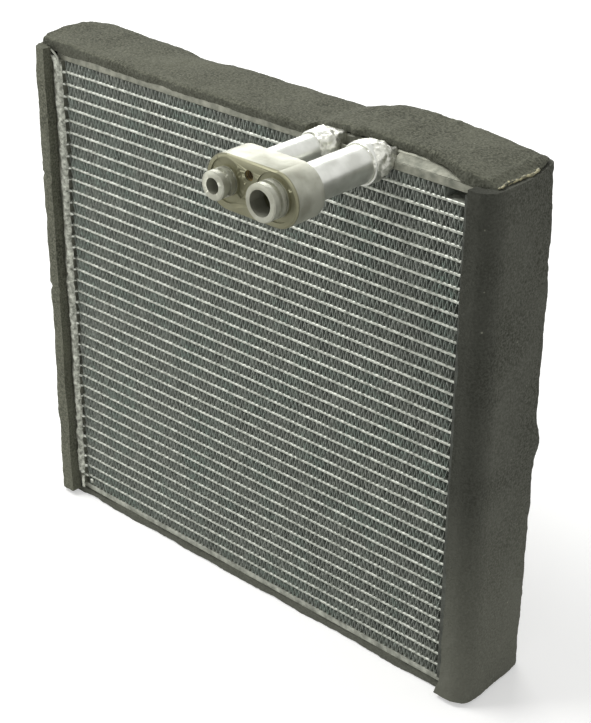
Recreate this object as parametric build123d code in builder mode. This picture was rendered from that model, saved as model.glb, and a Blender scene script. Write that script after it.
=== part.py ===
from build123d import *
from math import hypot
import os

# Flat-tube evaporator core with two side tanks, a two-port connector block and foam wraps.
# X runs along the tubes, the air goes through along Y, and the ports face -Y.
# The core is centred on X and Y, and the foam underneath rests on Z = 0.

os.makedirs("parts", exist_ok=True)

# ---- Driving dimensions, in millimetres ----

# Core
core_width = 263.2  # bare tube between the two header plates
core_depth = 38.0
tube_count = 38
tube_thickness = 1.7
tube_wall = 0.35
fin_height = 4.9
fin_sheet = 0.3
fin_wall_count = 10  # walls in one row
fin_end_gap = 2.5  # bare tube beside each header
fin_bond = 0.12  # depth of the brazed bond with the tube above
braze_gap = 0.05

# Headers, each a flat plate and a folded tank
header_overhang = 1.5  # past the core at the front and the back
header_plate_thickness = 1.5
tank_width = 10.5
tank_wall = 1.2
tank_corner_radius = 5.0
end_cap_thickness = 1.5
divider_thickness = 1.2

# Side plates
side_plate_sheet = 1.2
side_plate_overhang = 10.0  # reach over the tank ends
top_plate_height = 4.05
bottom_plate_height = 3.25

# Ports
port_spacing = 28.0
suction_port_x = 78.7
port_axis_rise = 0.65  # above the web of the top side plate
suction_pipe_diameter = 18.0
liquid_pipe_diameter = 14.0
pipe_wall = 1.5
socket_reach = 9.0  # from the core's front to the stub's mouth
socket_seat = 5.0
socket_wall = 1.4
stub_clearance = 0.6  # between a stub's back and the tube noses
stub_back_wall = 1.2
neck_width_reduction = 1.2  # a neck is narrower than its socket on each side
neck_height = 6.8
neck_wall = 1.3
notch_clearance = 0.3

# Connector block
block_back_reach = 46.0  # from the core's front to the block's back
block_thickness = 17.0
block_end_radius = 13.0
block_drop = 1.0  # the outline sits a little lower than the ports
block_front_chamfer = 0.8
pipe_seat = 6.0
spigot_length = 9.0
suction_spigot_diameter = 17.4
liquid_spigot_diameter = 13.4
suction_bore_diameter = 12.0
liquid_bore_diameter = 7.4
spigot_chamfer = 0.5
ring_groove_width = 2.2
ring_groove_depth = 1.2
ring_groove_setback = 3.0
spigot_root_depth = 2.0  # how far a spigot's blank reaches into the block
screw_hole_diameter = 5.0
screw_hole_offset = 13.0  # from the liquid port, towards the suction port
screw_hole_rise = 5.7

# Flow duct
duct_setback = 6.0  # from the core's front
duct_back_setback = 4.0  # from the core's back
duct_height = 5.8
duct_wall = 1.2
duct_left_margin = 10.3  # past the liquid port
duct_right_inset = 0.9  # short of the side plate's end
duct_rib_setback = 13.4
duct_slot_width = 5.4
duct_slot_length = 10.5
duct_corner_radius = 2.4
duct_edge_chamfer = 0.8

# Foam
side_foam_thickness = 6.0
side_foam_corner_radius = 8.0
right_foam_leg = 15.5
left_foam_leg = 11.1
left_foam_top_rise = 2.5  # above the top side plate
right_foam_top_rise = 2.9
foam_clearance = 0.3
bottom_foam_thickness = 3.2
top_foam_thickness = 3.9
top_foam_front_overlap = 0.5
top_foam_back_overlap = 5.0
top_foam_left_overlap = 3.0  # reach over the left foam
top_foam_ramp = 70.0
top_foam_duct_ramp = 9.0
top_foam_front_cut = 8.5  # front edge set back beside the suction stub

# ---- Positions worked out from them ----

tube_pitch = tube_thickness + fin_height
bottom_plate_z = bottom_foam_thickness + foam_clearance
header_bottom_z = bottom_plate_z + bottom_plate_height
lowest_tube_z = header_bottom_z + fin_height + tube_thickness / 2
top_tube_z = lowest_tube_z + (tube_count - 1) * tube_pitch
header_top_z = top_tube_z + tube_thickness / 2 + fin_height
header_height = header_top_z - header_bottom_z
header_middle_z = (header_top_z + header_bottom_z) / 2
web_top_z = header_top_z + side_plate_sheet
top_plate_z = header_top_z + top_plate_height

core_front_y = -core_depth / 2
header_depth = core_depth + 2 * header_overhang
plate_face_x = core_width / 2
tank_inner_x = plate_face_x + header_plate_thickness
tank_outer_x = tank_inner_x + tank_width
side_plate_end_x = plate_face_x + side_plate_overhang

liquid_port_x = suction_port_x - port_spacing
port_z = web_top_z + port_axis_rise
socket_mouth_y = core_front_y - socket_reach
stub_back_y = core_front_y - stub_clearance
duct_front_y = core_front_y + duct_setback
duct_back_y = core_depth / 2 - duct_back_setback
duct_left_x = liquid_port_x - duct_left_margin
duct_right_x = side_plate_end_x - duct_right_inset
duct_top_z = web_top_z + duct_height
duct_rib_y = duct_front_y + duct_rib_setback
block_back_y = core_front_y - block_back_reach
block_front_y = block_back_y - block_thickness
spigot_rim_y = block_front_y - spigot_length
foam_inner_x = tank_outer_x + foam_clearance
foam_outer_x = foam_inner_x + side_foam_thickness
foam_inner_y = header_depth / 2 + foam_clearance
foam_outer_y = foam_inner_y + side_foam_thickness


def save(builder, name):
    """Label a finished piece and write it to its own file."""
    builder.part.label = name
    export_step(builder.part, f"parts/{name}.step")


# ---- Core: flat tubes, each with the fin row below it ----


def fin_row_points(low_z, high_z):
    """Corners of a folded fin strip that stands on low_z and is bonded into high_z."""
    run = core_width - 2 * fin_end_gap
    step = run / fin_wall_count
    height = high_z + fin_bond - low_z
    sheet_rise = fin_sheet * hypot(step, height) / step
    low_line = []
    high_line = []
    for fold in range(fin_wall_count + 1):
        x = -run / 2 + fold * step
        centre_z = low_z if fold % 2 else low_z + height - sheet_rise
        low_line.append((x, centre_z))
        high_line.append((x, centre_z + sheet_rise))
    return high_line + low_line[::-1]


tube_length = core_width + 2 * header_plate_thickness
channel_height = tube_thickness - 2 * tube_wall
channel_depth = core_depth - 2 * tube_wall
for index in range(tube_count):
    tube_z = top_tube_z - index * tube_pitch
    tube_underside_z = tube_z - tube_thickness / 2
    with BuildPart() as tube_and_fin:
        with BuildSketch(Plane.YZ) as tube_section:
            with Locations((0, tube_z)):
                Rectangle(core_depth, tube_thickness)
                Rectangle(channel_depth, channel_height, mode=Mode.SUBTRACT)
        extrude(amount=tube_length / 2, both=True)
        with BuildSketch(Plane.XZ.offset(core_depth / 2)) as fins:
            with BuildLine():
                Polyline(*fin_row_points(tube_underside_z - fin_height, tube_underside_z), close=True)
            make_face()
        extrude(amount=-core_depth)
    save(tube_and_fin, f"tube_and_fin_{index + 1:02d}")

# ---- Side plates: shallow channels that open away from the core ----

duct_slot_x = (tank_inner_x + duct_right_x - duct_wall) / 2
duct_front_slot_y = (duct_front_y + duct_wall + duct_rib_y) / 2
duct_back_slot_y = (duct_rib_y + duct_back_y) / 2
duct_slot_places = [(duct_slot_x, duct_front_slot_y), (duct_slot_x, duct_back_slot_y)]

suction_neck_width = suction_pipe_diameter + 2 * (socket_wall - neck_width_reduction)
liquid_neck_width = liquid_pipe_diameter + 2 * (socket_wall - neck_width_reduction)

with BuildPart() as top_side_plate:
    with BuildSketch(Plane.YZ) as top_plate_section:
        with Locations((0, header_top_z)):
            Rectangle(core_depth, top_plate_height, align=(Align.CENTER, Align.MIN))
        with Locations((0, web_top_z)):
            Rectangle(
                core_depth - 2 * side_plate_sheet,
                top_plate_height,
                align=(Align.CENTER, Align.MIN),
                mode=Mode.SUBTRACT,
            )
    extrude(amount=side_plate_end_x, both=True)
    # Openings in the front flange for the two necks
    for neck_x, neck_width in ((suction_port_x, suction_neck_width), (liquid_port_x, liquid_neck_width)):
        with BuildSketch(Plane.XY.offset(web_top_z)):
            with Locations((neck_x, core_front_y)):
                Rectangle(neck_width + 2 * notch_clearance, 3 * side_plate_sheet)
        extrude(amount=top_plate_height, mode=Mode.SUBTRACT)
    # Slots that let the duct into the right tank
    with BuildSketch(Plane.XY.offset(web_top_z)) as duct_slots:
        with Locations(*duct_slot_places):
            Rectangle(duct_slot_width, duct_slot_length)
    extrude(amount=-side_plate_sheet, mode=Mode.SUBTRACT)
    # The uppermost fin row is brazed to this plate
    with BuildSketch(Plane.XZ.offset(core_depth / 2)) as top_fins:
        with BuildLine():
            Polyline(*fin_row_points(header_top_z - fin_height, header_top_z), close=True)
        make_face()
    extrude(amount=-core_depth)
save(top_side_plate, "top_side_plate")

with BuildPart() as bottom_side_plate:
    with BuildSketch(Plane.YZ) as bottom_plate_section:
        with Locations((0, header_bottom_z)):
            Rectangle(core_depth, bottom_plate_height, align=(Align.CENTER, Align.MAX))
        with Locations((0, header_bottom_z - side_plate_sheet)):
            Rectangle(
                core_depth - 2 * side_plate_sheet,
                bottom_plate_height,
                align=(Align.CENTER, Align.MAX),
                mode=Mode.SUBTRACT,
            )
    extrude(amount=side_plate_end_x, both=True)
save(bottom_side_plate, "bottom_side_plate")

# ---- Headers: slotted plate, folded tank, two end caps and a divider ----

tube_places = [(0, top_tube_z - index * tube_pitch) for index in range(tube_count)]
for side, side_name in ((-1, "left"), (1, "right")):
    with BuildPart() as header_plate:
        with BuildSketch(Plane.YZ.offset(side * plate_face_x)) as plate_outline:
            with Locations((0, header_middle_z)):
                Rectangle(header_depth, header_height)
            with Locations(*tube_places):
                Rectangle(
                    core_depth + 2 * braze_gap,
                    tube_thickness + 2 * braze_gap,
                    mode=Mode.SUBTRACT,
                )
        extrude(amount=side * header_plate_thickness)
    save(header_plate, f"{side_name}_header_plate")


def tank_half_section(side, inset):
    """Section of a tank's outside, drawn smaller by inset on its three closed sides."""
    width = tank_width - inset
    depth = header_depth - 2 * inset
    with BuildSketch() as section:
        with Locations((side * (tank_inner_x + width / 2), 0)):
            Rectangle(width, depth)
        outer_corners = section.vertices().group_by(Axis.X)[-1 if side > 0 else 0]
        fillet(outer_corners, tank_corner_radius - inset)
    return section.sketch


for side, side_name in ((-1, "left"), (1, "right")):
    with BuildPart() as tank:
        with BuildSketch(Plane.XY.offset(header_bottom_z)) as tank_section:
            add(tank_half_section(side, 0))
            add(tank_half_section(side, tank_wall), mode=Mode.SUBTRACT)
        extrude(amount=header_height)
    save(tank, f"{side_name}_tank")

    for end_name, cap_z in (("top", header_top_z - end_cap_thickness), ("bottom", header_bottom_z)):
        with BuildPart() as end_cap:
            with BuildSketch(Plane.XY.offset(cap_z)) as cap_outline:
                add(tank_half_section(side, tank_wall + braze_gap))
                if side > 0 and end_name == "top":
                    with Locations(*duct_slot_places):
                        Rectangle(duct_slot_width, duct_slot_length, mode=Mode.SUBTRACT)
            extrude(amount=end_cap_thickness)
        save(end_cap, f"{side_name}_{end_name}_end_cap")

with BuildPart() as right_tank_divider:
    divider_width = tank_width - tank_wall - braze_gap
    divider_height = header_height - 2 * (end_cap_thickness + braze_gap)
    with BuildSketch(Plane.XZ.offset(-duct_rib_y)) as divider_outline:
        with Locations((tank_inner_x + divider_width / 2, header_middle_z)):
            Rectangle(divider_width, divider_height)
    extrude(amount=divider_thickness / 2, both=True)
save(right_tank_divider, "right_tank_divider")

# ---- Flow duct: a pressed cover with one channel for each port ----

with BuildPart() as flow_duct:
    with BuildSketch(Plane.XY.offset(web_top_z)) as duct_outline:
        with Locations(((duct_left_x + duct_right_x) / 2, (duct_front_y + duct_back_y) / 2)):
            RectangleRounded(duct_right_x - duct_left_x, duct_back_y - duct_front_y, duct_corner_radius)
    extrude(amount=duct_height)
    chamfer(flow_duct.faces().sort_by(Axis.Z)[-1].edges(), duct_edge_chamfer)
    # Channels, open towards the side plate
    split_x = (suction_port_x + liquid_port_x) / 2
    front_y = duct_front_y + duct_wall
    back_y = duct_back_y - duct_wall
    right_x = duct_right_x - duct_wall
    left_x = duct_left_x + duct_wall
    with BuildSketch(Plane.XY.offset(web_top_z)) as channels:
        with Locations((split_x + duct_wall / 2, front_y)):
            Rectangle(
                right_x - split_x - duct_wall / 2,
                duct_rib_y - duct_wall / 2 - front_y,
                align=Align.MIN,
            )
        with Locations((left_x, duct_rib_y + duct_wall / 2)):
            Rectangle(right_x - left_x, back_y - duct_rib_y - duct_wall / 2, align=Align.MIN)
        with Locations((left_x, front_y)):
            Rectangle(split_x - duct_wall / 2 - left_x, back_y - front_y, align=Align.MIN)
    extrude(amount=duct_height - duct_wall, mode=Mode.SUBTRACT)
    # Openings in the front wall, one for each neck
    with BuildSketch(Plane.XZ.offset(-duct_front_y)) as neck_openings:
        for neck_x, neck_width in ((suction_port_x, suction_neck_width), (liquid_port_x, liquid_neck_width)):
            with Locations((neck_x, web_top_z + neck_wall)):
                Rectangle(
                    neck_width - 2 * neck_wall,
                    duct_height - duct_wall - neck_wall,
                    align=(Align.CENTER, Align.MIN),
                )
    extrude(amount=-duct_wall, mode=Mode.SUBTRACT)
save(flow_duct, "flow_duct")

# ---- Stubs: round socket in front of the core, flat neck over the side plate ----


def build_stub(port_x, pipe_diameter, neck_width):
    """Socket for one pipe, with a neck that leads into the flow duct."""
    socket_radius = pipe_diameter / 2 + socket_wall
    bore_radius = pipe_diameter / 2 - pipe_wall
    passage_width = neck_width - 2 * neck_wall
    passage_height = duct_height - duct_wall - neck_wall
    mouth = Plane((port_x, socket_mouth_y, port_z), x_dir=(1, 0, 0), z_dir=(0, 1, 0))
    with BuildPart() as stub:
        with BuildSketch(mouth) as socket_outline:
            Circle(socket_radius)
        extrude(amount=stub_back_y - socket_mouth_y)
        with BuildSketch(Plane.XZ.offset(-duct_front_y)) as neck_outline:
            with Locations((port_x, web_top_z + neck_height / 2)):
                Rectangle(neck_width, neck_height)
        extrude(amount=duct_front_y - stub_back_y + stub_back_wall)
        with BuildSketch(mouth) as pipe_socket:
            Circle(pipe_diameter / 2 + braze_gap)
        extrude(amount=socket_seat, mode=Mode.SUBTRACT)
        with BuildSketch(mouth) as bore:
            Circle(bore_radius)
        extrude(amount=stub_back_y - stub_back_wall - socket_mouth_y, mode=Mode.SUBTRACT)
        with BuildSketch(Plane.XZ.offset(-duct_front_y)) as passage:
            with Locations((port_x, web_top_z + neck_wall)):
                Rectangle(passage_width, passage_height, align=(Align.CENTER, Align.MIN))
        extrude(amount=duct_front_y - stub_back_y + 2 * stub_back_wall, mode=Mode.SUBTRACT)
    return stub


save(build_stub(suction_port_x, suction_pipe_diameter, suction_neck_width), "suction_stub")
save(build_stub(liquid_port_x, liquid_pipe_diameter, liquid_neck_width), "liquid_stub")

# ---- Pipes, from the bottom of each socket to the seat in the block ----

pipe_back_y = socket_mouth_y + socket_seat
pipe_front_y = block_back_y - pipe_seat
pipes = (
    ("suction_pipe", suction_port_x, suction_pipe_diameter),
    ("liquid_pipe", liquid_port_x, liquid_pipe_diameter),
)
for pipe_name, port_x, pipe_diameter in pipes:
    pipe_end = Plane((port_x, pipe_front_y, port_z), x_dir=(1, 0, 0), z_dir=(0, 1, 0))
    with BuildPart() as pipe:
        with BuildSketch(pipe_end) as pipe_section:
            Circle(pipe_diameter / 2)
            Circle(pipe_diameter / 2 - pipe_wall, mode=Mode.SUBTRACT)
        extrude(amount=pipe_back_y - pipe_front_y)
    save(pipe, pipe_name)

# ---- Connector block: one machined piece with two spigots ----


def spigot_profile(spigot_radius):
    """Half profile of a spigot, from its root to its rim, with its ring groove."""
    ring_start = spigot_length - ring_groove_setback
    ring_floor = spigot_radius - ring_groove_depth
    with BuildLine() as profile:
        Polyline(
            (0, -spigot_root_depth),
            (spigot_radius, -spigot_root_depth),
            (spigot_radius, ring_start - ring_groove_width),
            (ring_floor, ring_start - ring_groove_width),
            (ring_floor, ring_start),
            (spigot_radius, ring_start),
            (spigot_radius, spigot_length - spigot_chamfer),
            (spigot_radius - spigot_chamfer, spigot_length),
            (0, spigot_length),
            close=True,
        )
    return profile.line


ports = (
    (suction_port_x, suction_spigot_diameter, suction_bore_diameter, suction_pipe_diameter),
    (liquid_port_x, liquid_spigot_diameter, liquid_bore_diameter, liquid_pipe_diameter),
)
with BuildPart() as connector_block:
    # Rounded bar round both ports
    with BuildSketch(Plane.XZ.offset(-block_back_y)) as block_outline:
        with Locations(((suction_port_x + liquid_port_x) / 2, port_z - block_drop)):
            SlotOverall(port_spacing + 2 * block_end_radius, 2 * block_end_radius)
    extrude(amount=block_thickness)
    chamfer(connector_block.faces().sort_by(Axis.Y)[0].edges(), block_front_chamfer)
    for port_x, spigot_diameter, bore_diameter, pipe_diameter in ports:
        spigot_plane = Plane((port_x, block_front_y, port_z), x_dir=(1, 0, 0), z_dir=(0, 0, 1))
        with BuildSketch(spigot_plane.rotated((180, 0, 0))) as spigot_half:
            add(make_face(spigot_profile(spigot_diameter / 2).edges(), mode=Mode.PRIVATE))
        revolve(axis=Axis((port_x, block_front_y, port_z), (0, 1, 0)))
        with BuildSketch(Plane.XZ.offset(-spigot_rim_y)) as bore:
            with Locations((port_x, port_z)):
                Circle(bore_diameter / 2)
        extrude(amount=spigot_rim_y - block_back_y, mode=Mode.SUBTRACT)
        with BuildSketch(Plane.XZ.offset(-block_back_y)) as pipe_counterbore:
            with Locations((port_x, port_z)):
                Circle(pipe_diameter / 2 + braze_gap)
        extrude(amount=pipe_seat, mode=Mode.SUBTRACT)
    # Tapped hole for the clamping screw, between the ports and above them
    with BuildSketch(Plane.XZ.offset(-block_back_y)) as screw_hole:
        with Locations((liquid_port_x + screw_hole_offset, port_z + screw_hole_rise)):
            Circle(screw_hole_diameter / 2)
    extrude(amount=block_thickness, mode=Mode.SUBTRACT)
save(connector_block, "connector_block")

# ---- Foam: a wrap round each tank, a strip on top and a strip underneath ----


def build_side_foam(side, front_leg, height):
    """U-shaped wrap round one tank, with a leg along its front and its back."""
    with BuildPart() as foam:
        with BuildSketch() as wrap:
            with Locations((side * (foam_outer_x - right_foam_leg / 2), 0)):
                Rectangle(right_foam_leg, 2 * foam_outer_y)
            outer_corners = wrap.vertices().group_by(Axis.X)[-1 if side > 0 else 0]
            fillet(outer_corners, side_foam_corner_radius)
            with Locations((side * (foam_inner_x - right_foam_leg / 2), 0)):
                Rectangle(right_foam_leg, 2 * foam_inner_y, mode=Mode.SUBTRACT)
            # A shorter front leg leaves more of the tank bare
            if front_leg < right_foam_leg:
                with Locations((side * (foam_outer_x - right_foam_leg), -foam_outer_y)):
                    Rectangle(
                        2 * (right_foam_leg - front_leg),
                        2 * side_foam_thickness,
                        mode=Mode.SUBTRACT,
                    )
        extrude(amount=height)
    return foam


left_foam_top_z = top_plate_z + left_foam_top_rise
save(build_side_foam(-1, left_foam_leg, left_foam_top_z), "foam_left")
save(build_side_foam(1, right_foam_leg, top_plate_z + right_foam_top_rise), "foam_right")

with BuildPart() as foam_bottom:
    with BuildSketch() as bottom_strip:
        Rectangle(2 * tank_outer_x, header_depth)
    extrude(amount=bottom_foam_thickness)
save(foam_bottom, "foam_bottom")

# The top strip lies on the side plate, climbs over the duct, and its left end rides on the left foam
on_plate_z = top_plate_z + foam_clearance
on_duct_z = max(duct_top_z, top_plate_z) + foam_clearance
on_left_foam_z = left_foam_top_z + foam_clearance
strip_left_x = -foam_inner_x - top_foam_left_overlap
strip_right_x = tank_outer_x
strip_back_y = core_depth / 2 + top_foam_back_overlap
strip_front_y = core_front_y - top_foam_front_overlap
ramp_end_x = -foam_inner_x + top_foam_ramp
duct_step_x = duct_left_x - foam_clearance
underside = [
    (strip_left_x, on_left_foam_z),
    (right_foam_leg - foam_outer_x + foam_clearance, on_left_foam_z),
    (ramp_end_x, on_plate_z),
    (duct_step_x - top_foam_duct_ramp, on_plate_z),
    (duct_step_x, on_duct_z),
    (strip_right_x, on_duct_z),
]
with BuildPart() as foam_top:
    with BuildSketch(Plane.XZ.offset(-strip_back_y)) as strip_section:
        with BuildLine():
            low = Polyline(*underside)
            raised = [(x, z + top_foam_thickness) for x, z in underside]
            high = Polyline(*raised)
            Line(low @ 0, high @ 0)
            Line(low @ 1, high @ 1)
        make_face()
    extrude(amount=strip_back_y - strip_front_y)
    # Notches round the two necks, and a slanting front edge to the right of them
    neck_notch_left_x = liquid_port_x - liquid_neck_width / 2 - foam_clearance
    neck_notch_right_x = suction_port_x + suction_neck_width / 2 + foam_clearance
    neck_notch_y = duct_front_y + foam_clearance
    with BuildSketch(Plane.XY.offset(on_plate_z)) as front_cut:
        with BuildLine():
            Polyline(
                (neck_notch_left_x, strip_front_y),
                (neck_notch_left_x, neck_notch_y),
                (neck_notch_right_x, neck_notch_y),
                (neck_notch_right_x, core_front_y + top_foam_front_cut),
                (plate_face_x, strip_front_y),
                close=True,
            )
        make_face()
    extrude(amount=2 * top_foam_thickness + duct_height, mode=Mode.SUBTRACT)
save(foam_top, "foam_top")
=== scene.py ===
from math import cos, pi, radians, sin

import bpy
from mathutils import Matrix, Vector, noise


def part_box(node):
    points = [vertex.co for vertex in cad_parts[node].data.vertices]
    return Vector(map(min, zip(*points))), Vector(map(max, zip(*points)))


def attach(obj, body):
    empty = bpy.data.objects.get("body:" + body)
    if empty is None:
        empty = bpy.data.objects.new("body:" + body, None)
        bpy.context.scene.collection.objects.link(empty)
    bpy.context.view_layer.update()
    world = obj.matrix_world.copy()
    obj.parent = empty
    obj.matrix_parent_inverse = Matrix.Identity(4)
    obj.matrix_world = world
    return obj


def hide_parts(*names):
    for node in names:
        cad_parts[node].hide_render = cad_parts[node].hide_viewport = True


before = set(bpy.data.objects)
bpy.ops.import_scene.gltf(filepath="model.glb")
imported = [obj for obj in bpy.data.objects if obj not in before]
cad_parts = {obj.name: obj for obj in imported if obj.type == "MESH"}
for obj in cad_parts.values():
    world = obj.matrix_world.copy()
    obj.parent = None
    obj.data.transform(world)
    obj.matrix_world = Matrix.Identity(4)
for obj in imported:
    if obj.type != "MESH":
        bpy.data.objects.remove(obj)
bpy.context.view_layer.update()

# Flat-tube evaporator core with two foam-wrapped side tanks and a two-port connector block.
# Every length is in metres: MM turns a size in millimetres into metres.

MM = 0.001


# ---- Modelling helpers ----

def start(operator, name, **settings):
    """Adds a primitive with nothing else selected, names it and puts its place into its mesh."""
    bpy.ops.object.select_all(action="DESELECT")
    operator(**settings)
    piece = bpy.context.object
    piece.name = name
    bpy.ops.object.transform_apply(location=True, rotation=True, scale=True)
    return piece


def pick(piece, kind, wanted):
    """Goes into edit mode with only the faces, edges or vertices selected whose middle is wanted."""
    bpy.context.view_layer.objects.active = piece
    bpy.ops.object.mode_set(mode="EDIT")
    bpy.ops.mesh.select_mode(type=kind)
    bpy.ops.mesh.select_all(action="DESELECT")
    bpy.ops.object.mode_set(mode="OBJECT")
    points = [vertex.co for vertex in piece.data.vertices]
    if kind == "FACE":
        for face in piece.data.polygons:
            face.select = wanted(face.center, face.normal)
    elif kind == "EDGE":
        for edge in piece.data.edges:
            low, high = (points[index] for index in edge.vertices)
            edge.select = wanted((low + high) / 2, (high - low).normalized())
    else:
        for vertex in piece.data.vertices:
            vertex.select = wanted(vertex.co, vertex.normal)
    bpy.ops.object.mode_set(mode="EDIT")


def leave_edit():
    bpy.ops.object.mode_set(mode="OBJECT")


def work(piece, kind, **settings):
    """Adds one modifier with its settings and applies it."""
    modifier = piece.modifiers.new(kind.lower(), kind)
    for name, value in settings.items():
        setattr(modifier, name, value)
    bpy.ops.object.select_all(action="DESELECT")
    piece.select_set(True)
    bpy.context.view_layer.objects.active = piece
    bpy.ops.object.modifier_apply(modifier=modifier.name)


def repeat(piece, name, shift):
    """Copies a piece with a mesh of its own, moved by shift."""
    copy = piece.copy()
    copy.data = piece.data.copy()
    copy.name = name
    bpy.context.scene.collection.objects.link(copy)
    copy.data.transform(Matrix.Translation(shift))
    return copy


def fuse(pieces, name):
    """Joins several pieces into the first one."""
    bpy.ops.object.select_all(action="DESELECT")
    for piece in pieces:
        piece.select_set(True)
    bpy.context.view_layer.objects.active = pieces[0]
    bpy.ops.object.join()
    pieces[0].name = name
    return pieces[0]


def turn_outwards(piece):
    """Merges doubled points and makes the faces point outwards."""
    pick(piece, "FACE", lambda middle, normal: True)
    bpy.ops.mesh.remove_doubles(threshold=0.005 * MM)
    bpy.ops.mesh.normals_make_consistent(inside=False)
    leave_edit()


def paint(piece, *materials):
    piece.data.materials.clear()
    for material in materials:
        piece.data.materials.append(material)


def hand_over(piece, slot, *nodes, smooth=30):
    """Shades a finished piece, ties it to the root body and hides the CAD nodes that it stands for."""
    bpy.ops.object.select_all(action="DESELECT")
    piece.select_set(True)
    bpy.context.view_layer.objects.active = piece
    bpy.ops.object.shade_smooth_by_angle(angle=radians(smooth))
    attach(piece, "root")
    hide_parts(*nodes)


def clouds(name, grain):
    """Cloud pattern for pushing a surface in and out, with lumps of about that size."""
    pattern = bpy.data.textures.new(name, "CLOUDS")
    pattern.noise_scale = grain
    pattern.noise_depth = 1
    return pattern


def push(piece, pattern, strength, mid_level=0.5, **more):
    """Pushes a surface in and out by a cloud pattern."""
    work(piece, "DISPLACE", texture=pattern, texture_coords="LOCAL", strength=strength,
         mid_level=mid_level, **more)


def round_edges(piece, width, segments, angle):
    """Rounds the edges whose faces meet at more than that angle, in degrees."""
    work(piece, "BEVEL", width=width, segments=segments, limit_method="ANGLE", angle_limit=radians(angle))


def extrude(shift):
    """Pulls new faces out of the picked edges, then leaves edit mode."""
    bpy.ops.mesh.extrude_region_move(TRANSFORM_OT_translate={"value": shift})
    leave_edit()


def clamp(value):
    return min(max(value, 0), 1)


def hump(offset, reach):
    """1 in the middle of a hump, and 0 from its reach on."""
    return max(0, 1 - (offset / reach) ** 2)


# ---- Material helpers ----

def colour(code):
    """Linear colour of an sRGB hex value."""
    channels = [int(code[place:place + 2], 16) / 255 for place in (1, 3, 5)]
    return [c / 12.92 if c <= 0.04045 else ((c + 0.055) / 1.055) ** 2.4 for c in channels] + [1]


def add(tree, kind, inputs=None, **settings):
    """Adds a node. Each input is a value, or the socket that feeds it."""
    node = tree.nodes.new(kind)
    for name, value in settings.items():
        setattr(node, name, value)
    for name, value in (inputs or {}).items():
        if isinstance(value, bpy.types.NodeSocket):
            tree.links.new(value, node.inputs[name])
        else:
            node.inputs[name].default_value = value
    return node


def new_material(name):
    material = bpy.data.materials.new(name)
    material.use_nodes = True
    material.node_tree.nodes.clear()
    return material, material.node_tree


def close(tree, shader):
    add(tree, "ShaderNodeOutputMaterial", {"Surface": shader.outputs[0]})


def place_in(tree):
    """Place of a point in the piece's own frame."""
    return add(tree, "ShaderNodeTexCoord").outputs["Object"]


def patches(tree, place, size, detail, **more):
    """Cloudy pattern, with patches of about that size."""
    return add(tree, "ShaderNodeTexNoise", {
        "Vector": place, "Scale": 1 / size, "Detail": detail, **more}).outputs["Fac"]


def two_tone(tree, share, low, dark, high, light):
    """Blend of two colours: dark where the share is low, light where it is high."""
    ramp = add(tree, "ShaderNodeValToRGB", {"Fac": share})
    for stop, position, code in zip(ramp.color_ramp.elements, (low, high), (dark, light)):
        stop.position = position
        stop.color = colour(code)
    return ramp.outputs["Color"]


def spread(tree, value, low, high, at_low, at_high):
    """Runs from at_low to at_high while the value runs from low to high."""
    ranged = add(tree, "ShaderNodeMapRange", {
        "Value": value, "From Min": low, "From Max": high, "To Min": at_low, "To Max": at_high})
    return ranged.outputs["Result"]


def blend(tree, share, under, over):
    """Lays the colour with the code over on the colour under, by that share."""
    return add(tree, "ShaderNodeMix", {0: share, 6: under, 7: colour(over)}, data_type="RGBA").outputs[2]


def bump(tree, height, strength, distance):
    return add(tree, "ShaderNodeBump", {
        "Height": height, "Strength": strength, "Distance": distance}).outputs["Normal"]


# ---- Places taken from the CAD nodes ----

core_left_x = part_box("left_header_plate")[1].x
core_right_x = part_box("right_header_plate")[0].x
core_front_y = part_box("tube_and_fin_01")[0].y
core_back_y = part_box("tube_and_fin_01")[1].y
core_depth = core_back_y - core_front_y
tube_ends_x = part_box("tube_and_fin_01")[1].x
tube_count = sum(name.startswith("tube_and_fin_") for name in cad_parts)
top_tube_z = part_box("tube_and_fin_01")[1].z
row_pitch = (top_tube_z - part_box(f"tube_and_fin_{tube_count:02d}")[1].z) / (tube_count - 1)
header_top_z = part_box("left_header_plate")[1].z
header_bottom_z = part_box("left_header_plate")[0].z
side_plate_end_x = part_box("top_side_plate")[1].x
top_plate_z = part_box("top_side_plate")[1].z
suction_low, suction_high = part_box("suction_pipe")
liquid_low, liquid_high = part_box("liquid_pipe")
suction_x = (suction_low.x + suction_high.x) / 2
liquid_x = (liquid_low.x + liquid_high.x) / 2
port_z = (suction_low.z + suction_high.z) / 2
block_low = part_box("connector_block")[0]

tube_thickness = 1.7 * MM
fin_height = row_pitch - tube_thickness

# ---- Materials ----

# Drawn aluminium fin stock, coated against corrosion: mid grey, satin, faintly green in patches
fin_stock, tree = new_material("coated_aluminium_fin_stock")
place = place_in(tree)
green = two_tone(tree, patches(tree, place, 22 * MM, 3), 0.46, "#dcdfd7", 0.66, "#c6dacf")
worn = spread(tree, patches(tree, place, 1.6 * MM, 2), 0.3, 0.7, 0.35, 1.25)
tint = blend(tree, worn, green, "#979c94")
# The front edges keep the fin colour, and the fins darken deeper in: painted shade in the gaps between them
depth = add(tree, "ShaderNodeSeparateXYZ", {"Vector": place}).outputs["Y"]
inside = spread(tree, depth, core_front_y + 0.5 * MM, core_front_y + 2.2 * MM, 0.0, 0.7)
shader = add(tree, "ShaderNodeBsdfPrincipled", {
    "Base Color": blend(tree, inside, tint, "#666b64"), "Metallic": 0.35, "Roughness": 0.55})
close(tree, shader)

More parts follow.
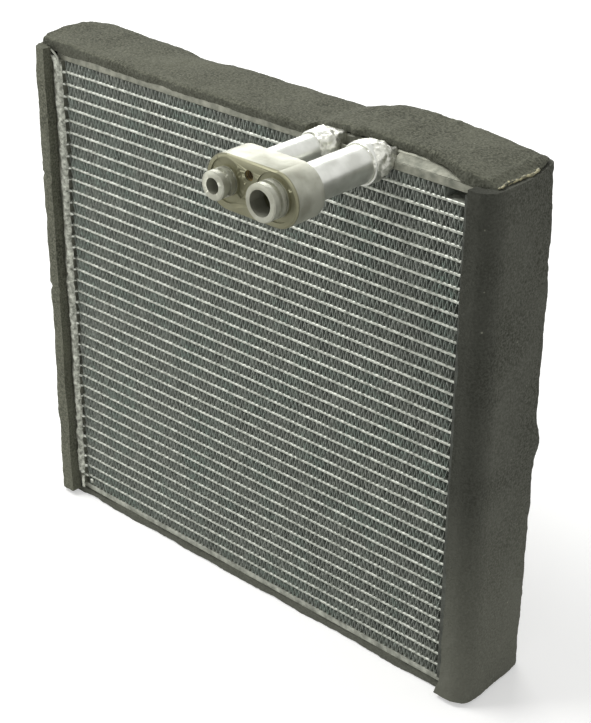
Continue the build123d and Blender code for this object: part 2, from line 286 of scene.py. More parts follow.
# Extruded aluminium tube after brazing: pale, satin, with a grainy skin of flux along its nose
tube_metal, tree = new_material("brazed_aluminium_tube")
grain = patches(tree, place_in(tree), 1.8 * MM, 3)
shader = add(tree, "ShaderNodeBsdfPrincipled", {
    "Base Color": two_tone(tree, grain, 0.34, "#9a9d93", 0.66, "#d6d9ce"), "Metallic": 0.5, "Roughness": 0.42,
    "Normal": bump(tree, grain, 0.4, 0.2 * MM)})
close(tree, shader)


def sheet_finish(name, dark, light, metal, patch):
    """Clad aluminium sheet after brazing: dull, mottled in patches of that size, with small lumps."""
    material, tree = new_material(name)
    place = place_in(tree)
    bloom = patches(tree, place, patch, 5, Roughness=0.6)
    lumps = patches(tree, place, 1.5 * MM, 3)
    shader = add(tree, "ShaderNodeBsdfPrincipled", {
        "Base Color": two_tone(tree, bloom, 0.32, dark, 0.68, light), "Metallic": metal, "Roughness": 0.58,
        "Normal": bump(tree, lumps, 0.5, 0.3 * MM)})
    close(tree, shader)
    return material


brazed_sheet = sheet_finish("brazed_aluminium_sheet", "#74766a", "#aaaa9b", 0.45, 6 * MM)
# White with flux along the left header
flux_whitened_sheet = sheet_finish("flux_whitened_sheet", "#64665b", "#e6e8da", 0.15, 2.4 * MM)
# Dark, on the right header and tank, where they show beside the foam
dark_sheet = sheet_finish("dark_aluminium_sheet", "#3a3c36", "#5a5d55", 0.3, 5 * MM)
# Paler at the bottom, where condensed water runs over it
washed_sheet = sheet_finish("washed_aluminium_sheet", "#83857a", "#c9cbbe", 0.3, 5 * MM)

# Hand-welded aluminium: bright, rippled, rough in the hollows
weld_metal, tree = new_material("welded_aluminium_bead")
ripples = patches(tree, place_in(tree), 3 * MM, 4, Distortion=0.8)
shader = add(tree, "ShaderNodeBsdfPrincipled", {
    "Base Color": two_tone(tree, ripples, 0.3, "#a9aa9e", 0.62, "#e4e4da"), "Metallic": 0.8, "Roughness": 0.4,
    "Normal": bump(tree, ripples, 0.6, 0.6 * MM)})
close(tree, shader)

# Drawn aluminium pipe: satin, with faint lines along its length from the die
pipe_metal, tree = new_material("drawn_aluminium_pipe")
place = place_in(tree)
along = add(tree, "ShaderNodeMapping", {"Vector": place, "Scale": (1, 0.03, 1)}).outputs[0]
lines = patches(tree, along, 0.9 * MM, 3)
haze = patches(tree, place, 9 * MM, 3)
shader = add(tree, "ShaderNodeBsdfPrincipled", {
    "Base Color": two_tone(tree, haze, 0.35, "#cccdc5", 0.65, "#e4e5de"), "Metallic": 0.9,
    "Roughness": spread(tree, lines, 0.0, 1.0, 0.27, 0.42), "Normal": bump(tree, lines, 0.12, 0.1 * MM)})
close(tree, shader)

# Machined aluminium block with a pale chromate wash: satin, a little olive, with fine turning marks
block_metal, tree = new_material("machined_aluminium_block")
place = place_in(tree)
olive = two_tone(tree, patches(tree, place, 11 * MM, 3), 0.38, "#9b9b8c", 0.62, "#b7b8aa")
# Painted shade on the machined end face, between and round the two ports: darker there, and yellower as a
# painted reflection
depth = add(tree, "ShaderNodeSeparateXYZ", {"Vector": place}).outputs["Y"]
away = add(tree, "ShaderNodeMath", {0: depth, 1: block_low.y + 9.5 * MM}, operation="SUBTRACT")
away = add(tree, "ShaderNodeMath", {0: away.outputs[0]}, operation="ABSOLUTE")
end_face_painted_shade = spread(tree, away.outputs[0], 0.8 * MM, 1.1 * MM, 0.85, 0.0)
marks = patches(tree, place, 0.8 * MM, 2)
shader = add(tree, "ShaderNodeBsdfPrincipled", {
    "Base Color": blend(tree, end_face_painted_shade, olive, "#78765a"), "Metallic": 0.6, "Roughness": 0.45,
    "Normal": bump(tree, marks, 0.15, 0.1 * MM)})
close(tree, shader)

# Cut thread in aluminium, stained brown by old thread sealant
stained_thread, tree = new_material("sealant_stained_thread")
stain = patches(tree, place_in(tree), 2.5 * MM, 2)
shader = add(tree, "ShaderNodeBsdfPrincipled", {
    "Base Color": two_tone(tree, stain, 0.4, "#5f4520", 0.6, "#b39a63"), "Metallic": 0.6, "Roughness": 0.4})
close(tree, shader)


def foam_finish(name, dark, light, low_paling, front_shading=0.0):
    """Open-cell polyurethane foam: matt, full of fine pores in two colours, faded in patches, with a few pale
    specks. It can be made paler towards its lower end, and darkened towards the right wrap's front as painted
    shade."""
    material, tree = new_material(name)
    place = place_in(tree)
    pores = patches(tree, place, 1.1 * MM, 3, Roughness=0.65)
    cells = two_tone(tree, pores, 0.36, dark, 0.66, light)
    faded = spread(tree, patches(tree, place, 28 * MM, 3), 0.35, 0.7, 0.0, 0.45)
    aged = blend(tree, faded, cells, light)
    where = add(tree, "ShaderNodeSeparateXYZ", {"Vector": place})
    # Painted shade: darker towards the front of the right wrap
    wrap_front_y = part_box("foam_right")[0].y
    front_shading_share = spread(tree, where.outputs["Y"], wrap_front_y + 1 * MM, wrap_front_y + 15 * MM, front_shading, 0.0)
    aged = blend(tree, front_shading_share, aged, "#363731")
    # Paler towards the lower end
    low_paling_share = spread(tree, where.outputs["Z"], 15 * MM, 120 * MM, low_paling, 0.0)
    aged = blend(tree, low_paling_share, aged, "#97988a")
    dust = add(tree, "ShaderNodeTexVoronoi", {"Vector": place, "Scale": 1 / (13 * MM), "Randomness": 1.0})
    speck = spread(tree, dust.outputs["Distance"], 0.025, 0.05, 0.5, 0.0)
    shader = add(tree, "ShaderNodeBsdfPrincipled", {
        "Base Color": blend(tree, speck, aged, "#a9aa99"), "Roughness": 0.95, "Specular IOR Level": 0.15,
        "Normal": bump(tree, pores, 0.8, 0.8 * MM)})
    close(tree, shader)
    return material


foam_skin = foam_finish("open_cell_polyurethane_foam", "#43443b", "#797a6b", 0.0)
# Darker copy of the foam: painted shade on the top strip's front cut edge
cut_edge_shade_foam_skin = foam_finish("cut_edge_shade_polyurethane_foam", "#3a3b31", "#64655a", 0.0)
# Right wrap: darkened towards its front as painted shade, and paler towards its lower end
front_shade_foam_skin = foam_finish("front_shade_polyurethane_foam", "#43443b", "#72736a", 0.35, 0.75)
# Darker copy of the foam: painted shade on the left wrap's outer side and on the strip underneath
darker_shade_foam_skin = foam_finish("darker_shade_polyurethane_foam", "#32332d", "#565850", 0.2)

# Contact adhesive squeezed out of a glued joint: pale yellow, half glossy
adhesive, tree = new_material("dried_contact_adhesive")
blots = patches(tree, place_in(tree), 3 * MM, 3)
shader = add(tree, "ShaderNodeBsdfPrincipled", {
    "Base Color": two_tone(tree, blots, 0.4, "#7d7a60", 0.6, "#c3bd98"), "Roughness": 0.5})
close(tree, shader)


# ---- Core: one tube with its fin row, then its copies ----

# A fold of the fin strip: crest, wall, trough and wall, repeated along the row
fold_count = 95
fin_gap = 1.8 * MM  # bare tube beside each header
fin_sheet = 0.2 * MM
fold_flat = 0.32 * MM
fin_run = core_right_x - core_left_x - 2 * fin_gap
fold_pitch = fin_run / fold_count
fin_top_z = top_tube_z - tube_thickness

fin_row = start(
    bpy.ops.mesh.primitive_plane_add, "fin_row", size=1,
    location=(core_left_x + fin_gap + fold_flat / 2, 0, fin_top_z))
for vertex in fin_row.data.vertices:
    vertex.co.x = core_left_x + fin_gap + (fold_flat if vertex.co.x > core_left_x + fin_gap else 0)
    vertex.co.y *= core_depth
slant = fold_pitch / 2 - fold_flat
for shift in ((slant, 0, -fin_height), (fold_flat, 0, 0), (slant, 0, fin_height)):
    far_x = max(vertex.co.x for vertex in fin_row.data.vertices)
    pick(fin_row, "EDGE", lambda middle, way: middle.x > far_x - 0.01 * MM)
    extrude(shift)
# Two cuts near the front let the front edges bend while the rest of the row stays straight
pick(fin_row, "FACE", lambda middle, normal: True)
for cut_y in (core_front_y + 1.2 * MM, core_front_y + 5 * MM):
    bpy.ops.mesh.select_all(action="SELECT")
    bpy.ops.mesh.bisect(plane_co=(0, cut_y, 0), plane_no=(0, 1, 0))
leave_edit()
work(fin_row, "ARRAY", count=fold_count, use_relative_offset=False, use_constant_offset=True,
     constant_offset_displace=(fold_pitch, 0, 0), use_merge_vertices=True, merge_threshold=0.01 * MM)
paint(fin_row, fin_stock)

# Flat tube with rounded noses
tube = start(
    bpy.ops.mesh.primitive_cube_add, "tube", size=1, location=(0, 0, top_tube_z - tube_thickness / 2),
    scale=(2 * tube_ends_x, core_depth, tube_thickness))
pick(tube, "EDGE", lambda middle, way: abs(way.x) > 0.9)
bpy.ops.mesh.bevel(offset=0.42 * tube_thickness, segments=3)
leave_edit()
paint(tube, tube_metal)

row_shift = 1.6 * MM  # most that a fin row stands out of step with the others
front_edge = 0.2 * MM  # depth of the front edge, which bends fully
front_bend = 2 * MM  # depth behind it that bends half as much
top_row_short = 10.5 * MM  # where the uppermost row ends before the right header
handling_dents = clouds("fin_handling_dents", 1.1 * MM)
long_dents = clouds("fin_long_dents", 9 * MM)
for index in range(-1, tube_count):
    drop = Vector((0, 0, -index * row_pitch))
    out_of_step = Vector((row_shift * noise.noise(Vector((index, 0.4, 2))), 0, 0))
    fins = repeat(fin_row, f"fin_row_{index + 1:02d}", drop + out_of_step)
    front = fins.vertex_groups.new(name="front")
    front.add([v.index for v in fins.data.vertices if v.co.y < core_front_y + front_edge], 1, "REPLACE")
    front.add([v.index for v in fins.data.vertices
               if core_front_y + front_edge < v.co.y < core_front_y + front_bend], 0.5, "REPLACE")
    push(fins, handling_dents, 1.4 * MM, direction="X", vertex_group="front")
    push(fins, long_dents, 0.8 * MM, 0.65, direction="Y", vertex_group="front")
    work(fins, "SOLIDIFY", thickness=fin_sheet, offset=0)
    if index < 0:
        # The uppermost row stops short of the right header
        pick(fins, "VERT", lambda middle, normal: middle.x > core_right_x - top_row_short)
        bpy.ops.mesh.delete(type="VERT")
        leave_edit()
        fuse([fins], "top_fin_row")
        hand_over(fins, "core", "top_side_plate", smooth=20)
        continue
    tube_copy = repeat(tube, f"tube_{index + 1:02d}", drop)
    row = fuse([tube_copy, fins], f"core_row_{index + 1:02d}")
    hand_over(row, "core", f"tube_and_fin_{index + 1:02d}", smooth=20)
bpy.data.objects.remove(fin_row)
bpy.data.objects.remove(tube)

# ---- Side plate on top: a channel with its flanges up, notched round the two necks ----

plate_sheet = 1.2 * MM
top_plate = start(
    bpy.ops.mesh.primitive_plane_add, "top_side_plate_channel", size=1,
    location=(0, 0, header_top_z + plate_sheet / 2))
top_plate.data.transform(Matrix.Diagonal((2 * side_plate_end_x, core_depth - plate_sheet, 1, 1)))
# Its left end stops short
for vertex in top_plate.data.vertices:
    vertex.co.x = max(vertex.co.x, -side_plate_end_x + 6 * MM)
for edge_side in (-1, 1):
    pick(top_plate, "EDGE", lambda middle, way: middle.y * edge_side > core_depth / 3)
    extrude((0, 0, top_plate_z - header_top_z - plate_sheet / 2))
for port_x, half_gap in ((suction_x, 9.5 * MM), (liquid_x, 7.5 * MM)):
    for cut_x in (port_x - half_gap, port_x + half_gap):
        pick(top_plate, "FACE", lambda middle, normal: True)
        bpy.ops.mesh.bisect(plane_co=(cut_x, 0, 0), plane_no=(1, 0, 0))
        leave_edit()
    pick(top_plate, "FACE", lambda middle, normal: abs(middle.x - port_x) < half_gap
         and middle.y < -core_depth / 3 and abs(normal.y) > 0.5)
    bpy.ops.mesh.delete(type="FACE")
    leave_edit()
turn_outwards(top_plate)
work(top_plate, "SOLIDIFY", thickness=plate_sheet, offset=0)
round_edges(top_plate, 0.25 * MM, 2, 40)
paint(top_plate, brazed_sheet)
hand_over(top_plate, "sheet", "top_side_plate")

# ---- Weld lumps where the pipes enter the flow duct ----

collar_length = 4.6 * MM
collar_wall = 1.3 * MM
root_length = 4 * MM
neck_height = 6.6 * MM
weld_lumps = clouds("weld_lumps", 4.5 * MM)
weld_grain = clouds("weld_grain", 1.4 * MM)
for name, node, port_x, socket, lump_y in (
        ("suction_weld", "suction_stub", suction_x, 10.2 * MM, 6.8 * MM),
        ("liquid_weld", "liquid_stub", liquid_x, 8.3 * MM, 4.8 * MM)):
    mouth_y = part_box(node)[0].y
    neck_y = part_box(node)[1].y
    collar = start(
        bpy.ops.mesh.primitive_cylinder_add, f"{name}_collar", vertices=96, radius=socket,
        depth=collar_length, location=(port_x, mouth_y + collar_length / 2, port_z), rotation=(pi / 2, 0, 0))
    pick(collar, "FACE", lambda middle, normal: abs(normal.y) > 0.9)
    bpy.ops.mesh.inset(thickness=collar_wall, use_individual=True)
    bpy.ops.mesh.bridge_edge_loops()
    leave_edit()
    turn_outwards(collar)
    round_edges(collar, 0.6 * MM, 3, 50)
    paint(collar, pipe_metal)
    hand_over(collar, "braze", node, smooth=40)
    root = start(
        bpy.ops.mesh.primitive_cylinder_add, name, vertices=40, radius=socket * 0.97, depth=root_length,
        location=(port_x, mouth_y + collar_length + 1 * MM, port_z), rotation=(pi / 2, 0, 0))
    lump = start(
        bpy.ops.mesh.primitive_uv_sphere_add, "lump", segments=32, ring_count=16, radius=socket * 1.08,
        location=(port_x + 1.6 * MM, mouth_y + lump_y, port_z + 1.4 * MM), scale=(1.0, 0.95, 0.76))
    neck = start(
        bpy.ops.mesh.primitive_cube_add, "neck", size=1,
        location=(port_x, (core_front_y + neck_y) / 2, header_top_z + 4.6 * MM),
        scale=(1.7 * socket, neck_y - core_front_y + 1 * MM, neck_height))
    weld = fuse([root, lump, neck], name)
    work(weld, "REMESH", mode="VOXEL", voxel_size=0.45 * MM)
    push(weld, weld_lumps, 2.0 * MM)
    push(weld, weld_grain, 0.5 * MM)
    work(weld, "SMOOTH", factor=0.5, iterations=2)
    paint(weld, weld_metal)
    hand_over(weld, "braze", node, smooth=60)

# ---- Connector block: the CAD block, with its turned details cut into a copy ----

spigot_length = 9 * MM
block_face_y = block_low.y + spigot_length


def ring(outer, inner, low_y, high_y, port_x):
    """Flat ring about a port's axis, for cutting a turned recess."""
    piece = start(
        bpy.ops.mesh.primitive_cylinder_add, "ring", vertices=84, radius=outer, depth=high_y - low_y,
        location=(port_x, (low_y + high_y) / 2, port_z), rotation=(pi / 2, 0, 0))
    pick(piece, "FACE", lambda middle, normal: abs(normal.y) > 0.9)
    bpy.ops.mesh.inset(thickness=outer - inner, use_individual=True)
    bpy.ops.mesh.bridge_edge_loops()
    leave_edit()
    turn_outwards(piece)
    return piece


block = bpy.data.objects.new("connector_block_machined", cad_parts["connector_block"].data.copy())
bpy.context.scene.collection.objects.link(block)
turn_outwards(block)
# Round each spigot, a shallow spot face; on each spigot's root, a groove for the sealing ring
for port_x, spigot, spot_face in ((suction_x, 8.7 * MM, 11.2 * MM), (liquid_x, 6.7 * MM, 10.2 * MM)):
    recess = ring(spot_face, spigot + 0.2 * MM, block_face_y - 1 * MM, block_face_y + 0.6 * MM, port_x)
    groove = ring(
        spigot + 2 * MM, spigot - 0.8 * MM, block_face_y - 1.9 * MM, block_face_y - 0.8 * MM, port_x)
    for cutter in (recess, groove):
        work(block, "BOOLEAN", operation="DIFFERENCE", object=cutter, solver="EXACT")
        bpy.data.objects.remove(cutter)
round_edges(block, 0.18 * MM, 2, 50)
paint(block, block_metal)
hand_over(block, "block", "connector_block", smooth=20)

# Thread of the clamping screw's hole: its crests, one pitch apart
screw_x = liquid_x + 13 * MM
screw_z = port_z + 5.7 * MM
thread_pitch = 1 * MM
thread_turns = 12
crest = start(
    bpy.ops.mesh.primitive_torus_add, "screw_thread", major_radius=2.45 * MM, minor_radius=0.22 * MM,
    major_segments=32, minor_segments=6, location=(screw_x, block_face_y + 1.2 * MM, screw_z),
    rotation=(radians(94), 0, 0))
work(crest, "ARRAY", count=thread_turns, use_relative_offset=False, use_constant_offset=True,
     constant_offset_displace=(0, thread_pitch, 0))
paint(crest, stained_thread)
hand_over(crest, "block", smooth=60)

# ---- Finish of the CAD nodes that stay ----

node_finishes = {
    "suction_pipe": pipe_metal, "liquid_pipe": pipe_metal, "bottom_side_plate": washed_sheet,
    "right_header_plate": dark_sheet, "right_tank": dark_sheet}
for name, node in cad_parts.items():
    paint(node, node_finishes.get(name, brazed_sheet))

# ---- Foam: wraps round the tanks, a strip on top and a strip underneath ----

foam_thickness = 6 * MM
wrap_radius = 8 * MM
wrap_outer_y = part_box("foam_right")[1].y
wrap_outer_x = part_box("foam_right")[1].x


def around_tank(distance, front_leg):
    """Point on the outside of the right wrap, that far along it from the end of its front leg."""
    quarter = wrap_radius * pi / 2
    side = 2 * (wrap_outer_y - wrap_radius)
    if distance < front_leg - wrap_radius:
        return wrap_outer_x - front_leg + distance, -wrap_outer_y
    distance -= front_leg - wrap_radius
    if distance < quarter:
        turn = distance / wrap_radius
        return wrap_outer_x - wrap_radius * (1 - sin(turn)), -wrap_outer_y + wrap_radius * (1 - cos(turn))
    distance -= quarter
    if distance < side:
        return wrap_outer_x, -wrap_outer_y + wrap_radius + distance
    distance -= side
    if distance < quarter:
        turn = distance / wrap_radius
        return wrap_outer_x - wrap_radius * (1 - cos(turn)), wrap_outer_y - wrap_radius * (1 - sin(turn))
    return wrap_outer_x - wrap_radius - (distance - quarter), wrap_outer_y


def laid_sheet(name, columns, rows, place):
    """Sheet, first a flat grid: place gives each point's position from its shares of the grid's sides."""
    sheet = start(bpy.ops.mesh.primitive_grid_add, name, x_subdivisions=columns, y_subdivisions=rows, size=1)
    for vertex in sheet.data.vertices:
        vertex.co = place(vertex.co.x + 0.5, vertex.co.y + 0.5)
    return sheet


foam_dents = clouds("foam_dents", 16 * MM)
foam_pits = clouds("foam_pits", 3.2 * MM)
foam_pores = clouds("foam_pores", 1.2 * MM)


def finish_foam(sheet, thickness, node, fill, *skins):
    work(sheet, "SOLIDIFY", thickness=thickness, offset=-1, use_even_offset=True)
    push(sheet, foam_dents, 1.5 * MM, 0.55)
    push(sheet, foam_pits, 0.5 * MM)
    push(sheet, foam_pores, 0.35 * MM)
    paint(sheet, *skins)
    hand_over(sheet, "foam", node, smooth=50)


def wave(seed, place, size, height):
    """Slow random wave of that height, for a hand-cut edge."""
    return height * noise.noise(Vector((place / size, seed, 0.5)))


back_leg = 15.5 * MM
right_leg = 15.5 * MM
left_leg = 12.4 * MM
lump_z = 131 * MM  # height of the lump on the right wrap's rear corner
press_z = 110 * MM  # height at which the left wrap is pressed in most
foam_joints_z = (198 * MM, 132 * MM)


def along_wrap(share, front_leg, end):
    """Place round the tank of a share of a wrap's length, and how far that place is round the corner to the
    outer side. The end of the front leg is moved by end."""
    length = front_leg + back_leg - 2 * wrap_radius + pi * wrap_radius + 2 * (wrap_outer_y - wrap_radius)
    x, y = around_tank(share * length + end * (1 - share) ** 6, front_leg)
    return x, y, clamp((x - wrap_outer_x + wrap_radius) / wrap_radius)


def right_wrap_place(share, up):
    """Stands out at the bottom, with a lump on its rear corner and its front leg trimmed."""
    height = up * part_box("foam_right")[1].z
    trim = (2.6 + 0.9 * (1 - up)) * MM - 4 * MM * max(0, 1 - height / (12 * MM))
    x, y, outward = along_wrap(share, right_leg, wave(1, height, 30 * MM, 1.2 * MM) + trim)
    rear = clamp(y / (wrap_outer_y - wrap_radius)) ** 2
    towards_back = clamp(y / (2 * wrap_outer_y) + 0.5)
    lump = 2.6 * MM * rear * hump(height - lump_z, 11 * MM) ** 2
    flare = 2.6 * MM * (1 - up) ** 2 * (1 - 1.2 * towards_back)
    swell = flare + lump - 3.4 * MM * up ** 7 * rear
    height += 2.2 * MM * (1 - up) ** 14 * (1 - towards_back)
    top = up ** 8 * (wave(4, share, 0.2, 0.5 * MM) - 0.9 * MM)
    return Vector((x + swell * outward, y, height + top))


def left_wrap_place(along, up):
    """Pressed in at mid-height, and cut a little short at the bottom."""
    share = 1 - along
    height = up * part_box("foam_left")[1].z
    x, y, outward = along_wrap(share, left_leg, wave(-1, height, 30 * MM, 1.2 * MM) + 1.6 * (up - 1) * MM)
    height += 2.6 * MM * (1 - up) ** 14 * (1 - share)
    swell = -1.2 * MM - 1.3 * MM * hump(height - press_z, 45 * MM) - 2.2 * MM * (1 - up) ** 4
    # Two butt joints in the foam show as creases across its front
    for joint_z in foam_joints_z:
        pinch = max(0, 1 - abs(height - joint_z) / (2.5 * MM))
        y += 0.9 * MM * pinch * (y < -wrap_radius)
        swell -= 0.7 * MM * pinch
    top = up ** 8 * wave(2, share, 0.2, 1.2 * MM)
    return Vector((-(x + swell * outward), y, height + top))


right_wrap = laid_sheet("foam_right_wrap", 110, 200, right_wrap_place)
finish_foam(right_wrap, foam_thickness, "foam_right", 0.8, front_shade_foam_skin)
left_wrap = laid_sheet("foam_left_wrap", 110, 200, left_wrap_place)
finish_foam(left_wrap, foam_thickness, "foam_left", 0.8, foam_skin, darker_shade_foam_skin)
# Its outer side gets the darker copy of the foam: painted shade
for face in left_wrap.data.polygons:
    face.material_index = face.normal.x < -0.6

top_low, top_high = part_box("foam_top")
strip_thickness = 3.9 * MM
# Height of the strip's upper face at places along it, in millimetres from the core's middle
strip_profile = (
    (-147, 272.6), (-132, 272.8), (-102, 271.6), (-72, 270.6), (38, 270.6), (52, 273.6), (62, 274.8),
    (76, 274.8), (88, 273.8), (118, 274.0), (132, 273.4), (141, 272.6), (147.6, 269.9))
# How far its front edge is cut back, to leave room for the two necks
strip_front = (
    (-147, 0), (39, 0), (41, 6.5), (60, 6.6), (64, 4.5), (70, 6.5), (90, 7.6), (100, 8.0), (132, 0.3),
    (147.6, 0))
strip_end_x = 147.6 * MM
strip_bend = 2.8 * MM  # radius over which its front edge is turned down
strip_rim_z = 266.1 * MM  # lower rim of the turned-down edge


def follow(line, x):
    """Value at x on a line of points, eased between them."""
    for (low_x, low), (high_x, high) in zip(line, line[1:]):
        if x <= high_x:
            share = clamp((x - low_x) / (high_x - low_x))
            share = share * share * (3 - 2 * share)
            return low + (high - low) * share
    return line[-1][1]


def strip_place(along, across):
    # Its two back corners are rounded off
    rounding = 4.5 * MM * max(0, (across - 0.62) / 0.38) ** 2
    x = top_low.x + rounding + along * (strip_end_x - top_low.x - 2 * rounding)
    cut_back = follow(strip_front, x / MM) * MM
    front = top_low.y - 0.4 * MM + cut_back + wave(7, x, 25 * MM, 0.8 * MM)
    back = top_high.y + wave(9, x, 30 * MM, 1.2 * MM)
    top = follow(strip_profile, x / MM) * MM
    # Its front edge is turned down: it hangs over the side plate's flange where nothing is cut away
    turned = strip_thickness + (top - strip_rim_z - strip_thickness) * max(0, 1 - cut_back / (2 * MM))
    upright = turned - strip_bend
    quarter = strip_bend * pi / 2
    distance = across * (upright + quarter + back - front - strip_bend)
    if distance < upright:
        return Vector((x, front, top - turned + distance))
    distance -= upright
    if distance < quarter:
        turn = distance / strip_bend
        return Vector((x, front + strip_bend * (1 - cos(turn)), top - strip_bend * (1 - sin(turn))))
    y = front + strip_bend + distance - quarter
    # Its back edge droops, most of all left of the middle, but stands up behind the necks
    droop = 2.2 - 2.9 * hump(x - 90 * MM, 42 * MM) + 1.6 * hump(x + 64 * MM, 14 * MM)
    z = top - droop * MM * max(0, (y - 10 * MM) / (top_high.y - 10 * MM)) ** 2
    # Its left end rides up on the left wrap
    z += 1.8 * MM * max(0, 1 - (x - top_low.x) / (14 * MM)) * hump(y, 20 * MM)
    return Vector((x, y, z))


strip = laid_sheet("foam_top_strip", 420, 70, strip_place)
finish_foam(strip, strip_thickness, "foam_top", 0.7, foam_skin, cut_edge_shade_foam_skin)
# Its front cut edge gets a darker copy of the foam: painted shade
for face in strip.data.polygons:
    face.material_index = face.normal.y < -0.8

under_low, under_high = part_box("foam_bottom")


def under_place(along, across):
    x = under_low.x + along * (under_high.x - under_low.x)
    y = under_low.y + across * (under_high.y - under_low.y) + wave(11, x, 20 * MM, 0.8 * MM) * (1 - across)
    return Vector((x, y, under_high.z))


under = laid_sheet("foam_bottom_strip", 260, 36, under_place)
# The strip underneath gets the darker copy of the foam: painted shade under the core
finish_foam(under, under_high.z - under_low.z, "foam_bottom", 0.7, darker_shade_foam_skin)

# ---- Small sheet parts and joints ----


def bent_tab(name, points, width, finish):
    """Strip of sheet whose front edge runs through the points."""
    tab = start(bpy.ops.mesh.primitive_plane_add, name, size=1)
    for vertex in tab.data.vertices:
        far = vertex.co.x > 0
        vertex.co = Vector(points[1 if far else 0]) + Vector((width if vertex.co.y > 0 else 0, 0, 0))
    for low, high in zip(points[1:], points[2:]):
        end_middle = Vector(low) + Vector((width / 2, 0, 0))
        pick(tab, "EDGE", lambda middle, way: (middle - end_middle).length < 0.1 * MM)
        extrude(Vector(high) - Vector(low))
    work(tab, "SOLIDIFY", thickness=0.9 * MM, offset=0)
    round_edges(tab, 0.3 * MM, 2, 40)
    paint(tab, finish)
    hand_over(tab, "sheet")


tank_front_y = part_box("left_tank")[0].y
bent_tab("top_left_tab", (
    (core_left_x - 1.4 * MM, tank_front_y - 0.8 * MM, header_top_z - 5 * MM),
    (core_left_x - 2.2 * MM, tank_front_y - 0.9 * MM, header_top_z + 2 * MM),
    (core_left_x - 5.6 * MM, tank_front_y - 0.9 * MM, header_top_z + 4.4 * MM),
    (core_left_x - 9.6 * MM, tank_front_y - 0.8 * MM, header_top_z + 6.2 * MM)), 1.8 * MM, washed_sheet)
bent_tab("bottom_left_tab", (
    (core_left_x - 0.4 * MM, tank_front_y - 1.2 * MM, header_bottom_z + 6 * MM),
    (core_left_x - 0.4 * MM, tank_front_y - 1.4 * MM, header_bottom_z + 2 * MM),
    (core_left_x - 0.2 * MM, tank_front_y - 1.5 * MM, header_bottom_z - 1.6 * MM)),
    2.2 * MM, flux_whitened_sheet)


def bead_at(spot, shape):
    """Lump of braze metal of that half-size at a spot."""
    return start(
        bpy.ops.mesh.primitive_ico_sphere_add, "braze_bead", subdivisions=3, radius=1,
        location=spot, scale=shape)


# Braze metal along the left header: a bead where each tube goes in, and two lumps at its lower end
beads = [bead_at((core_left_x - 0.8 * MM, tank_front_y - 0.6 * MM, header_bottom_z + 8.4 * MM),
                 (2.2 * MM, 1.2 * MM, 1.3 * MM)),
         bead_at((core_left_x + 5.2 * MM, core_front_y - 0.2 * MM, header_bottom_z + 3 * MM),
                 (1.7 * MM, 0.8 * MM, 1.3 * MM))]
for index in range(tube_count):
    size = 1.1 + 0.5 * noise.noise(Vector((index * 1.7, 0.3, 0)))
    tube_z = top_tube_z - tube_thickness / 2 - index * row_pitch
    beads.append(bead_at((core_left_x + 0.5 * MM, core_front_y - 0.6 * MM, tube_z),
                         (1.9 * size * MM, 1.1 * MM, 0.8 * size * MM)))
beads = fuse(beads, "left_header_braze_beads")
push(beads, weld_grain, 0.7 * MM)
paint(beads, tube_metal)
hand_over(beads, "braze", smooth=60)

# Flux and braze metal that ran down the left header's front, from its top end to the tab
runs_low_z = header_bottom_z + 9 * MM


def run_place(along, across):
    z = runs_low_z + along * (header_top_z + 2.4 * MM - runs_low_z)
    lean = 3 * MM * max(0, (z - header_top_z + 6 * MM) / (8 * MM)) ** 2
    left = core_left_x - (3.0 + 1.5 * along) * MM - lean + wave(17, z, 5 * MM, 1.6 * MM)
    right = core_left_x + 0.5 * MM - lean + wave(19, z, 4 * MM, 1.0 * MM)
    y = tank_front_y + 0.3 * MM - 1.7 * MM * sin(pi * across) ** 0.6
    return Vector((left + across * (right - left), y, z))


runs = laid_sheet("left_header_braze_run", 300, 12, run_place)
push(runs, weld_grain, 1.4 * MM)
work(runs, "SOLIDIFY", thickness=0.5 * MM, offset=-1)
turn_outwards(runs)
paint(runs, flux_whitened_sheet)
hand_over(runs, "braze", smooth=60)

# Sheet that closes the gap between the flow duct and the side plate's flange, right of the big pipe
duct_low, duct_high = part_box("flow_duct")
skirt_dents = clouds("skirt_dents", 9 * MM)


def skirt_place(along, across):
    x = suction_x + 11 * MM + along * (side_plate_end_x - suction_x - 13 * MM)
    y = duct_low.y - 5.2 * MM * (1 - across)
    z = duct_high.z - 0.6 * MM - (duct_high.z - top_plate_z - 0.2 * MM) * (1 - across) ** 1.3
    return Vector((x, y, z))


skirt = laid_sheet("duct_skirt", 60, 8, skirt_place)
push(skirt, skirt_dents, 0.7 * MM)
work(skirt, "SOLIDIFY", thickness=0.8 * MM, offset=-1)
paint(skirt, brazed_sheet)
hand_over(skirt, "sheet")

# Adhesive that shows where the top strip meets the right wrap: a thread along the joint, from front to back
seam_radius = 0.68 * MM
seam_front_y = -19 * MM
seam_run = 37 * MM
seam_z = 269.2 * MM


def seam_place(along, across):
    uneven = 1 + 0.6 * noise.noise(Vector((along * 9, 0.5, 3)))
    thick = seam_radius * uneven * min(1, 12 * along, 12 * (1 - along))
    turn = 2 * pi * across
    rounding = 3 * MM * max(0, (along - 0.7) / 0.3) ** 2
    middle_x = strip_end_x - 0.2 * MM - rounding + wave(13, along, 0.12, 1.4 * MM)
    return Vector((middle_x + thick * cos(turn), seam_front_y + seam_run * along, seam_z + thick * sin(turn)))


seam = laid_sheet("adhesive_seam", 120, 12, seam_place)
turn_outwards(seam)
push(seam, weld_grain, 0.9 * MM)
paint(seam, adhesive)
hand_over(seam, "foam", smooth=60)

# ---- Camera, floor and light ----

camera_data = bpy.data.cameras.new("camera")
camera_data.lens = 84.4
camera_data.sensor_width = 36
camera = bpy.data.objects.new("camera", camera_data)
camera.location = (0.53098, -0.56184, 0.53374)
camera.rotation_euler = (radians(62.26), radians(-0.49), radians(42.75))
bpy.context.scene.collection.objects.link(camera)
bpy.context.scene.camera = camera

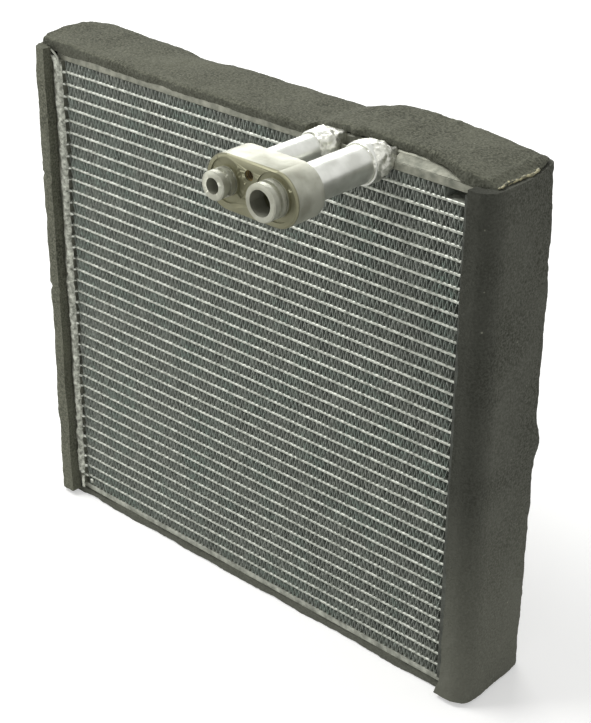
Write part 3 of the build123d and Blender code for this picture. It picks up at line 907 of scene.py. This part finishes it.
# Plain white floor that keeps the object's shadow: it glows only for the camera
floor_paint, tree = new_material("matt_white_floor")
light_path = add(tree, "ShaderNodeLightPath")
matt = add(tree, "ShaderNodeBsdfDiffuse", {"Color": colour("#e6e6e4")})
glow = add(tree, "ShaderNodeEmission", {"Color": colour("#ffffff"), "Strength": 0.42})
seen = add(tree, "ShaderNodeMixShader", {0: light_path.outputs["Is Camera Ray"], 2: glow.outputs[0]})
both = add(tree, "ShaderNodeAddShader", {0: matt.outputs[0], 1: seen.outputs[0]})
close(tree, both)
floor = start(bpy.ops.mesh.primitive_plane_add, "floor", size=40, location=(0, 0, -0.5 * MM))
floor.data.materials.append(floor_paint)

# White air: full white where it is seen, directly or mirrored, and dimmer as light
world = bpy.data.worlds.new("studio")
bpy.context.scene.world = world
world.use_nodes = True
tree = world.node_tree
tree.nodes.clear()
light_path = add(tree, "ShaderNodeLightPath")
backdrop = add(tree, "ShaderNodeMath", {
    0: light_path.outputs["Is Camera Ray"], 1: light_path.outputs["Is Glossy Ray"]}, operation="MAXIMUM")
backdrop = add(tree, "ShaderNodeMath", {
    0: backdrop.outputs[0], 1: light_path.outputs["Is Transmission Ray"]}, operation="MAXIMUM")
level = add(tree, "ShaderNodeMapRange", {"Value": backdrop.outputs[0], "To Min": 0.42, "To Max": 1.0})
air = add(tree, "ShaderNodeBackground", {"Color": colour("#ffffff"), "Strength": level.outputs["Result"]})
add(tree, "ShaderNodeOutputWorld", {"Surface": air.outputs[0]})

light_aim = Vector((0, 0, 0.14))
for name, place, size, power in (
        ("key_light", (-0.7, -0.55, 1.55), 0.7, 15),
        ("rim_light", (-1.1, 1.2, 1.1), 0.9, 12),
        ("front_light", (-1.3, -1.2, 0.5), 0.8, 5.5),
        ("fill_light", (0.7, -1.4, 0.25), 0.7, 2.2)):
    lamp_data = bpy.data.lights.new(name, "AREA")
    lamp_data.size = size
    lamp_data.energy = power
    lamp = bpy.data.objects.new(name, lamp_data)
    lamp.location = place
    lamp.rotation_euler = (light_aim - Vector(place)).to_track_quat("-Z", "Y").to_euler()
    bpy.context.scene.collection.objects.link(lamp)

bpy.context.scene.view_settings.view_transform = "Standard"
